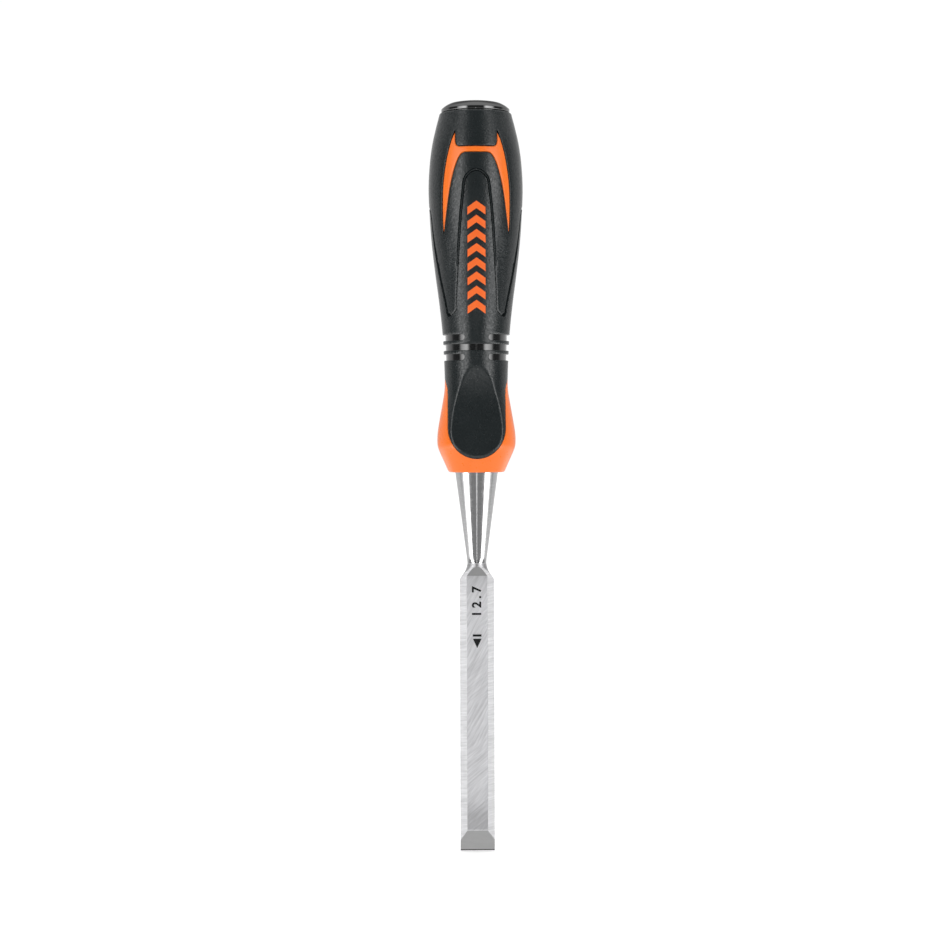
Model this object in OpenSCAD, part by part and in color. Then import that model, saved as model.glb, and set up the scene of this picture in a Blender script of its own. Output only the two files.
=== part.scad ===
// Bench chisel: bevel-edge blade, three-shot moulded handle and steel strike cap.
// The tool stands on its cutting edge with the handle up. Z runs along the tool's axis,
// the ground bevel faces -Y, the flat back faces +Y, and all sizes are in millimetres.

/* [Blade] */
// Width of the blade, the size that a chisel is sold by
blade_w = 12.7; // [12:0.1:13.5]
// Thickness of the blade at its flat front face
blade_t = 3.7; // [3.4:0.1:4]
// Thickness of the blade at its two side edges
edge_t = 2; // [1.6:0.1:2.4]
// Width of the flat front face between the two side bevels
face_w = 7.7; // [7:0.1:8.5]
// Angle of the ground cutting bevel, in degrees
grind_angle = 25; // [22:1:30]
// Length from the cutting edge to the start of the shoulder
blade_len = 101; // [95:1:102]
// Radius of the neck where it is narrowest, above the shoulder
neck_r = 3.6; // [3.3:0.1:3.8]
// Height of the narrowest place of the neck
neck_z = 108.5; // [108:0.5:109]
// Radius of the neck where it enters the collar
neck_top_r = 7.9; // [7.6:0.1:8]

/* [Tang] */
// Radius of the tang at its foot
tang_r = 4.5; // [4:0.1:5]
// Radius of the tang at its end
tang_end_r = 3.4; // [3:0.1:3.8]
// Height of the tang's end above the cutting edge
tang_z = 245; // [225:1:250]

/* [Handle] */
// Height of the collar's foot above the cutting edge
collar_z = 140.7; // [140:0.1:141]
// Height of the top of the grip, where the cap sits
grip_z = 273.4; // [273:0.1:274]
// How far the orange inlays lie below the grip's surface
inlay_recess = 0.2; // [0:0.05:0.4]
// Half width of the grip's tongue over the collar
tongue_w = 10.75; // [10:0.05:11]
// Depth of the groove round each of the four palm panels
panel_groove_d = 0.5; // [0.2:0.1:0.8]

/* [Ring grooves] */
// Height of the middle groove's centre
ring_z = 186.9; // [186:0.1:188]
// Distance from one groove to the next
ring_pitch = 3.6; // [3.3:0.1:3.8]
// Width of each groove
ring_w = 2.25; // [2:0.05:2.4]
// Half width of the bridge between the two short grooves on each side
bridge_w = 4.55; // [4:0.05:5]

/* [Thumb rests] */
// Distance from the axis to the deepest place of each thumb rest
rest_y = 9.65; // [9.5:0.05:10.5]
// Height of that deepest place
rest_z = 168; // [166:0.5:170]
// Radius of the rest's curve above its deepest place
rest_upper_r = 33; // [31:1:36]
// Radius of the rest's curve below its deepest place
rest_lower_r = 63; // [61:1:68]

/* [Strike cap] */
// Radius of the cap's rim
cap_r = 12.55; // [12.2:0.05:12.6]
// Height of the cap above the grip, at its middle
cap_h = 4.4; // [4:0.1:5]
// Radius of the stem that is pressed into the core
stem_r = 5; // [4:0.1:6]
// Length of the stem
stem_len = 14; // [10:1:15]

/* [Hidden] */
$fn = 96;
GRIP_COLOR = [0.16, 0.17, 0.18];

back_y = blade_t / 2;
far = 40;               // half size of the blocks that cut right across the tool
step = 2.5;             // spacing of the points along a smooth outline
seat_z = collar_z + 4.3;        // the neck's end inside the collar
foot_r = 7.6;           // radius of the core inside the collar
collar_foot_r = 10.3;   // radius of the collar's lower edge
foot_round = 0.6;       // rounding of that edge
grip_top_r = 12.65;     // radius of the grip's flat top
shoulder_round = 0.8;   // rounding of the edge round that top
sleeve_r = 8.9;         // radius of the collar's sleeve under the tongues
sleeve_top = 176;
tongue_foot = 146;      // lowest point of the tongue
tongue_bend = 157.5;    // where its straight sides turn into the round foot
cap_seat_r = 9.5;       // radius of the core's top, under the cap

// The grip's outside: height and radius of the places that set its curve
GRIP = [[176, 11.65], [184, 11.95], [192.5, 12.45], [203, 13.55], [214, 15], [226, 16.35],
        [237, 17.1], [246, 17.4], [255, 16.9], [262, 15.95], [268, 14.6], [272.3, 13.45]];
// The collar's outside, from its straight-sided foot to the waist
COLLAR = [[149.2, 13.9], [151, 14.4], [153.5, 14.5], [156.5, 14.25], [161, 13.5], [166, 12.6],
          [171, 11.8], [176, 11.65]];
// The core's outside, under the grip
CORE = [[180, 11.05], [192.5, 11.45], [205, 12], [220, 13.6], [234, 14.9], [246, 15.2],
        [256, 14.6], [264, 13.4], [270, 11.8]];
// Half of the inlay: the outer edge of an antler, from its lower tip to its upper tip
ANTLER_OUT = [[12.1, 228.8], [12.4, 237], [12.2, 246], [11.2, 253.3], [9.9, 259.3], [7.7, 264.8]];
// The antler's inner edge, from the crossbar to the lower tip
ANTLER_IN = [[4.4, 257.5], [6.3, 256.1], [8.2, 251.6], [10.2, 242.2], [11.9, 229.6]];
crossbar_z = 259.6;     // top edge of the crossbar between the antlers
crossbar_r = 1.3;       // radius where an antler meets the crossbar
// Half of a palm panel, from its crown to its foot, drawn for the front panel
PANEL = [[0, 250.4], [1.9, 249.7], [3.5, 247.5], [4.3, 241.4], [5.3, 230], [6.2, 214.5], [7.1, 199]];
panel_foot = 199;       // the height at which all four panels end
panel_groove_w = 1.1;   // width of the groove round each panel
side_panel_drop = 13;   // the side panels start this much lower than the front one

// Slope of a smooth curve through the points k at point i
function slope(k, i) =
    i == 0 ? (k[1][1] - k[0][1]) / (k[1][0] - k[0][0]) :
    i == len(k) - 1 ? (k[i][1] - k[i - 1][1]) / (k[i][0] - k[i - 1][0]) :
    (k[i + 1][1] - k[i - 1][1]) / (k[i + 1][0] - k[i - 1][0]);

// Value at t of the smooth curve on span i of the points k
function on_span(k, i, t) =
    let (h = k[i + 1][0] - k[i][0], u = (t - k[i][0]) / h)
    k[i][1] * (2 * pow(u, 3) - 3 * u * u + 1) + k[i + 1][1] * (3 * u * u - 2 * pow(u, 3))
    + h * slope(k, i) * (pow(u, 3) - 2 * u * u + u)
    + h * slope(k, i + 1) * (pow(u, 3) - u * u);

// Points [radius, height] along the smooth curve through k, lowest first
function curve(k) = concat(
    [for (i = [0:len(k) - 2])
        let (n = max(1, round((k[i + 1][0] - k[i][0]) / step)))
        for (j = [0:n - 1])
            let (z = k[i][0] + (k[i + 1][0] - k[i][0]) * j / n)
            [on_span(k, i, z), z]],
    [[k[len(k) - 1][1], k[len(k) - 1][0]]]);

// One point of a Catmull-Rom curve through the flat points k, on span i at u from 0 to 1
function along(k, i, u) =
    let (a = k[max(i - 1, 0)], b = k[i], c = k[i + 1], d = k[min(i + 2, len(k) - 1)])
    0.5 * (2 * b + (c - a) * u + (2 * a - 5 * b + 4 * c - d) * u * u
           + (3 * b - a - 3 * c + d) * pow(u, 3));

// The whole Catmull-Rom curve with n points to a span
function smooth(k, n) = concat([for (i = [0:len(k) - 2]) for (j = [0:n - 1]) along(k, i, j / n)],
                               [k[len(k) - 1]]);

function reversed(k) = [for (i = [len(k) - 1:-1:0]) k[i]];
function mirrored(k) = [for (i = [len(k) - 1:-1:0]) [-k[i][0], k[i][1]]];

// Points of an arc in the plane
function arc(c, r, a0, a1, n) = [for (i = [0:n]) c + r * [cos(a0 + (a1 - a0) * i / n),
                                                         sin(a0 + (a1 - a0) * i / n)]];

// A flat drawing in X and Z, made solid from y0 to y1
module across(y0, y1) {
    translate([0, y1, 0]) rotate([90, 0, 0]) linear_extrude(y1 - y0) children();
}

// A flat drawing in Y and Z, made solid right across X
module sideways() {
    rotate([90, 0, 90]) translate([0, 0, -far]) linear_extrude(2 * far) children();
}

// ---- handle outlines, as flat shapes in radius and height ----

// The outside of collar and grip together; grow makes it larger all round
module handle_outline(grow = 0) {
    foot = arc([collar_foot_r - foot_round, collar_z + foot_round], foot_round, -90, -24, 3);
    shoulder = arc([grip_top_r, grip_z - shoulder_round], shoulder_round, 10, 90, 4);
    sides = concat(foot, curve(COLLAR), [for (p = curve(GRIP)) if (p[1] > 176.1) p], shoulder);
    polygon(concat([[0, collar_z]], [for (p = sides) [p[0] + grow, p[1]]], [[0, grip_z]]));
}

// The outside of the core
module core_outline() {
    polygon(concat([[0, seat_z], [foot_r, seat_z], [foot_r, sleeve_top + 2]], curve(CORE),
                   [[cap_seat_r, grip_z], [0, grip_z]]));
}

// Everything of the handle that lies outside the core, between two heights
module shell(z0, z1, grow = 0) {
    rotate_extrude() difference() {
        intersection() {
            handle_outline(grow);
            translate([0, z0]) square([far, z1 - z0]);
        }
        core_outline();
    }
}

// ---- flat drawings of the details, in X and Z ----

module antler_shape() {
    half = concat([[0, crossbar_z]],
                  arc([7.7 - crossbar_r, crossbar_z + crossbar_r], crossbar_r, -90, 0, 5),
                  reversed(smooth(ANTLER_OUT, 4)), reversed(smooth(ANTLER_IN, 4)),
                  [[0, 257.5]]);
    polygon(concat(half, mirrored([for (i = [1:len(half) - 2]) half[i]])));
}

module tongue_shape() {
    half = concat([[11.9, 177], [11.5, 174.5], [10.95, 172.6], [tongue_w, 170.5]],
                  [for (a = [0:10:90]) [tongue_w * cos(a), tongue_bend
                                        - (tongue_bend - tongue_foot) * sin(a)]]);
    polygon(concat(half, mirrored(half)));
}

module panel_shape(grow = 0) {
    half = smooth(PANEL, 4);
    polygon([for (p = concat(half, mirrored(half))) [p[0] + sign(p[0]) * grow, p[1] + grow]]);
}

module panel_groove_shape(drop) {
    translate([0, -drop]) difference() {
        panel_shape(panel_groove_w);
        panel_shape(0);
        translate([-far, 0]) square([2 * far, panel_foot + drop]);
    }
}

module ring_slot_shape(z) {
    end = bridge_w + ring_w / 2;
    for (side = [0, 1]) mirror([side, 0]) {
        translate([end, z]) circle(d = ring_w);
        translate([end, z - ring_w / 2]) square([far, ring_w]);
    }
}

// The thumb rest's cut in Y and Z: two arcs that meet at its deepest place
module rest_shape() {
    upper = arc([-rest_y - rest_upper_r, rest_z], rest_upper_r, 45, 0, 8);
    lower = arc([-rest_y - rest_lower_r, rest_z], rest_lower_r, 0, -32, 8);
    polygon(concat(upper, lower));
}

// ---- cuts and fills ----

// The room that the two tongues take, front and back, outside the collar's sleeve
module tongue_space() {
    difference() {
        across(-far, far) tongue_shape();
        cylinder(r = sleeve_r, h = grip_z);
    }
}

// The grooves round the palm panels, front, back and sides
module panel_grooves() {
    difference() {
        union() {
            across(-far, far) panel_groove_shape(0);
            rotate([0, 0, 90]) across(-far, far) panel_groove_shape(side_panel_drop);
        }
        rotate_extrude() handle_outline(-panel_groove_d);
    }
}

module inlay() {
    color("darkorange") intersection() {
        shell(225, 268, -inlay_recess);
        across(-far, 0) antler_shape();
    }
}

// ---- the pieces ----

// The blade's outline in X and Z: straight sides, then the shoulder's curve to the neck
module blade_front() {
    rise = neck_z - blade_len;
    run = blade_w / 2 - neck_r;
    curve_side = [for (i = [0:8]) let (u = i / 8)
        [blade_w / 2 - run * (1 - pow(1 - u, 1.8)), blade_len + rise * u]];
    side = concat([[blade_w / 2, 0]], curve_side);
    polygon(concat(side, mirrored(side)));
}

// Its side profile in Y and Z: flat back, cutting bevel, flat face and the run-out at its top
module blade_side() {
    grind_z = blade_t / tan(grind_angle);
    rise = neck_z - blade_len;
    run = [for (i = [0:6]) let (u = i / 6) [back_y + (neck_r - back_y) * u * u, blade_len + rise * u]];
    polygon(concat([[back_y, 0]], run, [for (p = reversed(run)) [-p[0], p[1]]], [[-back_y, grind_z]]));
}

// Its cross-section in X and Y, with the two side bevels, wide enough to leave the neck round
module blade_section() {
    bevel_run = (blade_w - face_w) / 2;
    bevel_drop = blade_t - edge_t;
    reach = 4;
    half = [[blade_w / 2, back_y + reach], [blade_w / 2, back_y - edge_t],
            [face_w / 2 - reach * bevel_run / bevel_drop, -back_y - reach]];
    polygon(concat(half, mirrored(half)));
}

module blade() {
    // the trumpet stands clear of the blade's flats and closes in on the neck
    flare = 4;
    flare_z = blade_len - 1;
    // two wings forged on the tang keep the handle from turning
    wing = [13, 2.5, 14];
    wing_z = 168;
    color("silver") {
        intersection() {
            across(-far, far) blade_front();
            sideways() blade_side();
            linear_extrude(neck_z) blade_section();
            rotate_extrude() polygon(concat([[0, 0], [far, 0], [far, flare_z]],
                [for (i = [0:8]) let (u = i / 8)
                    [neck_r + flare * pow(1 - u, 2.2), flare_z + (neck_z - flare_z) * u]],
                [[0, neck_z]]));
        }
        rotate_extrude() polygon([[0, neck_z], [neck_r, neck_z], [neck_top_r, collar_z],
                                  [neck_top_r, seat_z], [tang_r, seat_z], [tang_end_r, tang_z - 2],
                                  [tang_end_r - 2, tang_z], [0, tang_z]]);
        translate([-wing[0] / 2, -wing[1] / 2, wing_z]) cube(wing);
    }
}

module core() {
    color("dimgray") difference() {
        rotate_extrude() core_outline();
        blade();
        translate([0, 0, grip_z - stem_len]) cylinder(r = stem_r, h = stem_len + 1);
    }
}

module collar() {
    color("darkorange") difference() {
        rotate_extrude() difference() {
            intersection() {
                handle_outline();
                square([far, sleeve_top]);
            }
            square([foot_r, sleeve_top + 1]);
            square([neck_top_r, seat_z]);
        }
        tongue_space();
    }
}

module inlay_front() {
    inlay();
}

module inlay_back() {
    rotate([0, 0, 180]) inlay();
}

module palm_grip() {
    color(GRIP_COLOR) difference() {
        shell(ring_z + ring_w / 2, grip_z);
        across(-far, far) antler_shape();
        across(-far, far) ring_slot_shape(ring_z + ring_pitch);
        panel_grooves();
    }
}

module thumb_grip() {
    color(GRIP_COLOR) difference() {
        union() {
            shell(sleeve_top, ring_z - ring_w / 2);
            intersection() {
                tongue_space();
                rotate_extrude() intersection() {
                    handle_outline();
                    square([far, sleeve_top]);
                }
            }
        }
        across(-far, far) ring_slot_shape(ring_z - ring_pitch);
        for (turn = [0, 180]) rotate([0, 0, turn]) sideways() rest_shape();
    }
}

module strike_cap() {
    rim_h = 2.2;
    rim_round = 0.9;
    lip = 0.3;
    dome_r = 9.3;
    dome_h = 3.6;
    color([0.09, 0.09, 0.1]) {
        rotate_extrude() polygon(concat([[0, grip_z], [cap_r - lip, grip_z], [cap_r, grip_z + lip]],
            arc([cap_r - rim_round, grip_z + rim_h - rim_round], rim_round, 0, 65, 3),
            [for (i = [0:4]) let (u = i / 4) [dome_r * (1 - u),
                grip_z + dome_h + (cap_h - dome_h) * (1 - pow(1 - u, 2))]]));
        translate([0, 0, grip_z - stem_len]) cylinder(r = stem_r, h = stem_len);
    }
}

blade();
core();
collar();
inlay_front();
inlay_back();
palm_grip();
thumb_grip();
strike_cap();
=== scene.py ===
"""Bench chisel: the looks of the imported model, with a studio floor, light and camera.

Lengths in the outlines are millimetres, in the CAD model's own frame: Z runs up the tool's axis
from the cutting edge, the ground bevel faces -Y. Meshes are made in metres.
"""
import math

import bmesh
import bpy
import numpy as np
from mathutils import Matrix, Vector
from mathutils.geometry import delaunay_2d_cdt


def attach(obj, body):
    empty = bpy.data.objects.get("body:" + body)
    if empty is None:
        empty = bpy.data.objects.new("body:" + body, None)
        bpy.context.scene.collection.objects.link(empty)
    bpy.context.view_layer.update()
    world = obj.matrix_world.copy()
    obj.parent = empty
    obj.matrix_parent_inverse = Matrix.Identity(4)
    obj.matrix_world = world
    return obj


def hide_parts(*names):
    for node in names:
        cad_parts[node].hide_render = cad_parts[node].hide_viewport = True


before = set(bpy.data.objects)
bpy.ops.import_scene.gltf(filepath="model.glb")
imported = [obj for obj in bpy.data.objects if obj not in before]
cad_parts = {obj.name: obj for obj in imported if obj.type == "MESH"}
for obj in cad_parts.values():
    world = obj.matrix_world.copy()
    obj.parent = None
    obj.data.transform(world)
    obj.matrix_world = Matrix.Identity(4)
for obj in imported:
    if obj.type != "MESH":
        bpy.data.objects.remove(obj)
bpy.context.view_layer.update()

MM = 0.001
BODY = "root"

# ---------------------------------------------------------------- outlines, in millimetres

COLLAR_Z = 141.0        # foot of the collar
GRIP_Z = 273.4          # top of the grip, under the strike cap
RING_Z = 186.9          # middle of the three ring grooves
RING_PITCH = 3.6
RING_W = 2.25
LIP = 0.2               # rounding of the grip's edges along the ring grooves
BRIDGE_W = 4.55         # half width of the bridge between the short grooves
SLEEVE_R = 8.9          # orange sleeve under the thumb tongues
COLLAR_TOP_Z = 176.0    # top of that sleeve

# outside of collar and grip: height and radius, joined by a smooth curve
HANDLE = [(141.3, 10.42), (145.2, 12.13), (149.2, 13.9), (151, 14.4), (153.5, 14.5), (156.5, 14.25),
          (161, 13.5), (166, 12.6), (171, 11.8), (176, 11.65), (184, 11.95), (192.5, 12.45),
          (203, 13.55), (214, 15), (226, 16.35), (237, 17.1), (246, 17.4), (255, 16.9),
          (262, 15.95), (268, 14.6), (272.3, 13.45)]
CORE = [(145, 7.6), (178, 7.6), (180, 11.05), (192.5, 11.45), (205, 12), (220, 13.6), (234, 14.9),
        (246, 15.2), (256, 14.6), (264, 13.4), (270, 11.8), (273.4, 9.5)]

# The outlines below are drawn on the unrolled skin: distance round from the middle of the
# front, and height. Each is half of a symmetric shape.
ANTLER_TOP, ANTLER_TIP = (8.15, 264.9), (13.5, 228.7)
ANTLER_OUT = [(9.45, 262.6), (11.1, 258), (12.3, 253.2), (13.5, 246), (13.86, 238.5), (13.8, 232.5)]
ANTLER_IN = [(13.2, 230), (12.2, 235.3), (11, 242), (9.5, 248.4), (7.6, 253.9), (5.9, 256.7),
             (4.4, 257.55)]
CROSSBAR_TOP = 259.6
CROSSBAR_FOOT = 257.55
ANTLER_NOTCH = [(6.6, 259.6), (7.6, 260.1), (8.1, 261.3), (8.2, 262.8)]
PANEL = [(0, 250.4), (1.1, 250.15), (2.2, 249.45), (3.8, 247.4), (4.5, 242.5), (5.3, 235),
         (6, 226), (6.7, 216), (7.35, 207), (7.8, 200.6)]
SIDE_PANEL = [(0, 238), (2, 237.4), (3.7, 235), (4.4, 229), (4.9, 222), (5.7, 215), (6.6, 208),
              (7.3, 201.5)]
PANEL_GROOVE_W = 1.15
PANEL_GROOVE_D = 0.14
CHANNEL_D = 0.45        # depth of the channels between panels, at the side panel
CHANNEL_Z = (197.9, 214, 234)   # foot of the channels, full depth, no depth
INLAY_RECESS = 0.22     # how far the inlays lie below the grip
CHEVRON_FOOT = 199      # the print on the front panel
CHEVRONS = 8

CLEARANCE = 0.02        # between a moulding and what it covers
SEAT_Z = 145.0          # where the neck ends and the tang starts, inside the collar
TANG = [(4.5, SEAT_Z), (3.4, 243), (1.4, 245)]      # radius and height
CAP_STEM_R = 5.0


def hermite(knots, at):
    """Values of the smooth curve through the knots, which part.scad draws in the same way."""
    x = np.array([k[0] for k in knots], float)
    y = np.array([k[1] for k in knots], float)
    m = np.empty_like(x)
    m[0] = (y[1] - y[0]) / (x[1] - x[0])
    m[-1] = (y[-1] - y[-2]) / (x[-1] - x[-2])
    m[1:-1] = (y[2:] - y[:-2]) / (x[2:] - x[:-2])
    at = np.clip(at, x[0], x[-1])
    i = np.clip(np.searchsorted(x, at) - 1, 0, len(x) - 2)
    h = x[i + 1] - x[i]
    u = (at - x[i]) / h
    return (y[i] * (2 * u**3 - 3 * u**2 + 1) + y[i + 1] * (3 * u**2 - 2 * u**3)
            + h * m[i] * (u**3 - 2 * u**2 + u) + h * m[i + 1] * (u**3 - u**2))


def catmull(points, n=6):
    """A smooth curve through flat points, n steps to a span."""
    p = [np.array(q, float) for q in points]
    out = []
    for i in range(len(p) - 1):
        a, b, c, d = p[max(i - 1, 0)], p[i], p[i + 1], p[min(i + 2, len(p) - 1)]
        for j in range(n):
            u = j / n
            out.append(0.5 * (2 * b + (c - a) * u + (2 * a - 5 * b + 4 * c - d) * u * u
                              + (3 * b - a - 3 * c + d) * u**3))
    out.append(p[-1])
    return np.array(out)


def handle_r(z):
    """Radius of the handle's skin at height z, with its rounded foot and shoulder."""
    z = np.asarray(z, float)
    r = hermite(HANDLE, z)
    foot, foot_r = 0.6, 10.42
    shoulder, top_r, drop = 1.1, 12.55, 0.9
    low = np.clip(z - COLLAR_Z, 0, foot)
    r = np.where(z < COLLAR_Z + foot, foot_r - foot + np.sqrt(foot**2 - (foot - low)**2), r)
    high = np.clip((z - GRIP_Z + shoulder) / shoulder, 0, 1)
    return np.where(z > GRIP_Z - shoulder, top_r + drop * np.sqrt(1 - high**2), r)


def core_r(z):
    """Radius of the core at height z."""
    return np.interp(z, [k[0] for k in CORE], [k[1] for k in CORE])


# ---------------------------------------------------------------- flat geometry

def resample(line, gap):
    """The same line with points about gap apart."""
    line = np.asarray(line, float)
    seg = np.hypot(*np.diff(line, axis=0).T)
    s = np.concatenate([[0], np.cumsum(seg)])
    n = max(1, int(round(s[-1] / gap)))
    t = np.linspace(0, s[-1], n + 1)
    return np.column_stack([np.interp(t, s, line[:, 0]), np.interp(t, s, line[:, 1])])


def distance(points, line):
    """Distance of each point from a line of points."""
    p = np.asarray(points, float)[:, None, :]
    a, b = line[None, :-1, :], line[None, 1:, :]
    ab = b - a
    t = np.clip(((p - a) * ab).sum(2) / np.maximum((ab**2).sum(2), 1e-12), 0, 1)
    return np.sqrt((((a + ab * t[..., None]) - p)**2).sum(2)).min(1)


def inside(points, ring):
    """Whether each point lies in the closed outline."""
    x, y = np.asarray(points, float).T
    hit = np.zeros(len(x), bool)
    for (x0, y0), (x1, y1) in zip(ring, np.roll(ring, -1, axis=0)):
        if y0 != y1:
            hit ^= ((y0 > y) != (y1 > y)) & (x < (x1 - x0) * (y - y0) / (y1 - y0) + x0)
    return hit


def offset(line, d):
    """The line moved sideways by d to its left; points that would fold over are dropped."""
    t = np.gradient(line, axis=0)
    t /= np.maximum(np.hypot(*t.T), 1e-9)[:, None]
    moved = line + np.column_stack([-t[:, 1], t[:, 0]]) * d
    return moved[distance(moved, line) > abs(d) * 0.93]


def step(x, a, b):
    """0 below a, 1 above b, smooth between."""
    u = np.clip((x - a) / (b - a), 0, 1)
    return u * u * (3 - 2 * u)


# ---------------------------------------------------------------- skins on the handle's surface

UNROLL = 15.0           # the unrolled plane's scale: millimetres to a radian
QUARTER = math.pi / 2


def to_plane(line):
    """Outline points (distance round, height) to the plane (angle * UNROLL, height)."""
    line = np.asarray(line, float)
    return np.column_stack([line[:, 0] / handle_r(line[:, 1]) * UNROLL, line[:, 1]])


def to_skin(plane):
    """The plane's points back to (distance round, height)."""
    return np.column_stack([plane[:, 0] / UNROLL * handle_r(plane[:, 1]), plane[:, 1]])


def triangles(lines, points):
    """Delaunay triangles that keep every line as edges. Returns points and triangles."""
    verts, edges = [], []
    for line in lines:
        first = len(verts)
        verts += [Vector(p) for p in line]
        edges += [(first + i, first + i + 1) for i in range(len(line) - 1)]
    verts += [Vector(p) for p in points]
    out = delaunay_2d_cdt(verts, edges, [], 0, 1e-4)
    return np.array([v[:] for v in out[0]]), np.array([f[:] for f in out[2]], int)


def grid(x0, x1, y0, y1, gap):
    """Staggered points over a rectangle."""
    rows = []
    for j, y in enumerate(np.arange(y0 + gap / 2, y1, gap * 0.9)):
        x = np.arange(x0 + gap * (0.25 + 0.5 * (j % 2)), x1, gap)
        rows.append(np.column_stack([x, np.full(len(x), y)]))
    return np.concatenate(rows)


def skin(z0, z1, lines, keep, outer, inner, gap=0.75, thin=3.0):
    """A closed quarter of a piece on the handle: an outer and an inner skin, joined at its rims.

    lines are outlines on the plane, keep(plane points) says where there is material, and
    outer and inner give the radius. The quarter runs from the middle of the front to the side.
    """
    side = QUARTER * UNROLL
    ends = [resample([(0, z0), (side, z0)], gap), resample([(0, z1), (side, z1)], gap)]
    seams = [resample([(0, z0), (0, z1)], gap), resample([(side, z0), (side, z1)], gap)]
    lines = [np.column_stack([np.clip(q[:, 0], 0, side), np.clip(q[:, 1], z0, z1)]) for q in lines]
    free = grid(0, side, z0, z1, gap)
    near = np.full(len(free), 9.0)
    for line in lines + ends + seams:
        near = np.minimum(near, distance(free, line))
    free = free[near > gap * 0.45]
    plane, tris = triangles(ends + seams + lines, free)
    tris = tris[keep(plane[tris].mean(1))]

    def rim(tris, plane):
        count = {}
        for t in tris:
            for a, b in ((t[0], t[1]), (t[1], t[2]), (t[2], t[0])):
                count.setdefault((min(a, b), max(a, b)), []).append((a, b))
        edges = [e[0] for e in count.values() if len(e) == 1]
        x = plane[:, 0]

        def on_seam(a, b):
            return (max(x[a], x[b]) < 1e-3) or (min(x[a], x[b]) > side - 1e-3)

        return [e for e in edges if not on_seam(*e)], [e for e in edges if on_seam(*e)]

    rims, seam_edges = rim(tris, plane)
    border = [plane[[a, b]] for a, b in rims]
    coarse = grid(0, side, z0, z1, thin)
    near = np.full(len(coarse), 9.0)
    for line in border:
        near = np.minimum(near, np.hypot(*(coarse - line.mean(0)).T))
    coarse = coarse[near > thin * 0.5]
    seam_line = [plane[[a, b]] for a, b in seam_edges]
    inner_plane, inner_tris = triangles(border + seam_line, coarse)
    inner_tris = inner_tris[keep(inner_plane[inner_tris].mean(1))]

    def lift(points, radius):
        angle, z = points[:, 0] / UNROLL, points[:, 1]
        r = radius(points)
        return np.column_stack([r * np.sin(angle), -r * np.cos(angle), z]) * MM

    faces = [t[::-1] for t in inner_tris]
    verts = [lift(inner_plane, inner), lift(plane, outer)]
    n = len(inner_plane)
    faces += [t + n for t in tris]
    lookup = {tuple(np.round(p, 3)): i for i, p in enumerate(inner_plane)}
    for a, b in rims:
        ia, ib = lookup.get(tuple(np.round(plane[a], 3))), lookup.get(tuple(np.round(plane[b], 3)))
        if ia is not None and ib is not None:
            faces.append((b + n, a + n, ia, ib))
    return np.concatenate(verts), [tuple(int(i) for i in f) for f in faces]


def add_object(name, bm):
    """A new mesh object in the scene from the bmesh, which is used up."""
    mesh = bpy.data.meshes.new(name)
    bm.to_mesh(mesh)
    bm.free()
    obj = bpy.data.objects.new(name, mesh)
    bpy.context.scene.collection.objects.link(obj)
    return obj


def piece(name, verts, faces, mirrors="", sharp=38, turn=False):
    """A new object, mirrored across the planes named, with one seamless surface.

    sharp is the angle in degrees from which an edge isn't smoothed, and turn makes it face back.
    """
    bm = bmesh.new()
    made = [bm.verts.new(v) for v in verts]
    for f in faces:
        if len(set(f)) > 2:
            try:
                bm.faces.new([made[i] for i in f])
            except ValueError:      # the face is there already
                pass
    for axis in mirrors:
        scale = Vector((-1 if axis == "x" else 1, -1 if axis == "y" else 1, 1))
        copy = bmesh.ops.duplicate(bm, geom=bm.verts[:] + bm.edges[:] + bm.faces[:])["geom"]
        for v in [g for g in copy if isinstance(g, bmesh.types.BMVert)]:
            v.co = v.co * scale
        bmesh.ops.reverse_faces(bm, faces=[g for g in copy if isinstance(g, bmesh.types.BMFace)])
    bmesh.ops.remove_doubles(bm, verts=bm.verts, dist=2e-6)
    if turn:
        for v in bm.verts:
            v.co = Vector((-v.co.x, -v.co.y, v.co.z))
    bmesh.ops.recalc_face_normals(bm, faces=bm.faces)
    for f in bm.faces:
        f.smooth = True
    for e in bm.edges:
        e.smooth = not (len(e.link_faces) == 2 and e.calc_face_angle(0) > math.radians(sharp))
    return add_object(name, bm)


def lathe(profile, turns=192):
    """A closed solid of revolution from (radius, height) points that start and end on the axis."""
    verts, faces, rows = [], [], []
    for r, z in profile:
        if r < 1e-6:
            rows.append([len(verts)] * turns)
            verts.append((0, 0, z * MM))
        else:
            rows.append(list(range(len(verts), len(verts) + turns)))
            for k in range(turns):
                a = 2 * math.pi * k / turns
                verts.append((r * math.sin(a) * MM, -r * math.cos(a) * MM, z * MM))
    for low, high in zip(rows, rows[1:]):
        for k in range(turns):
            m = (k + 1) % turns
            f = [low[k], low[m], high[m], high[k]]
            f = [v for i, v in enumerate(f) if v not in f[:i]]
            if len(f) > 2:
                faces.append(tuple(f))
    return verts, faces


def arc(cx, cy, r, a0, a1, n):
    """Points of an arc; angles in degrees."""
    a = np.radians(np.linspace(a0, a1, n + 1))
    return np.column_stack([cx + r * np.cos(a), cy + r * np.sin(a)])


def fillet(d, r):
    """How far a rounded edge lies below the face at distance d from the edge."""
    d = np.clip(d, 0, r)
    return r - np.sqrt(np.maximum(r * r - (r - d)**2, 0))


# ---------------------------------------------------------------- the grip's details

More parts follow.
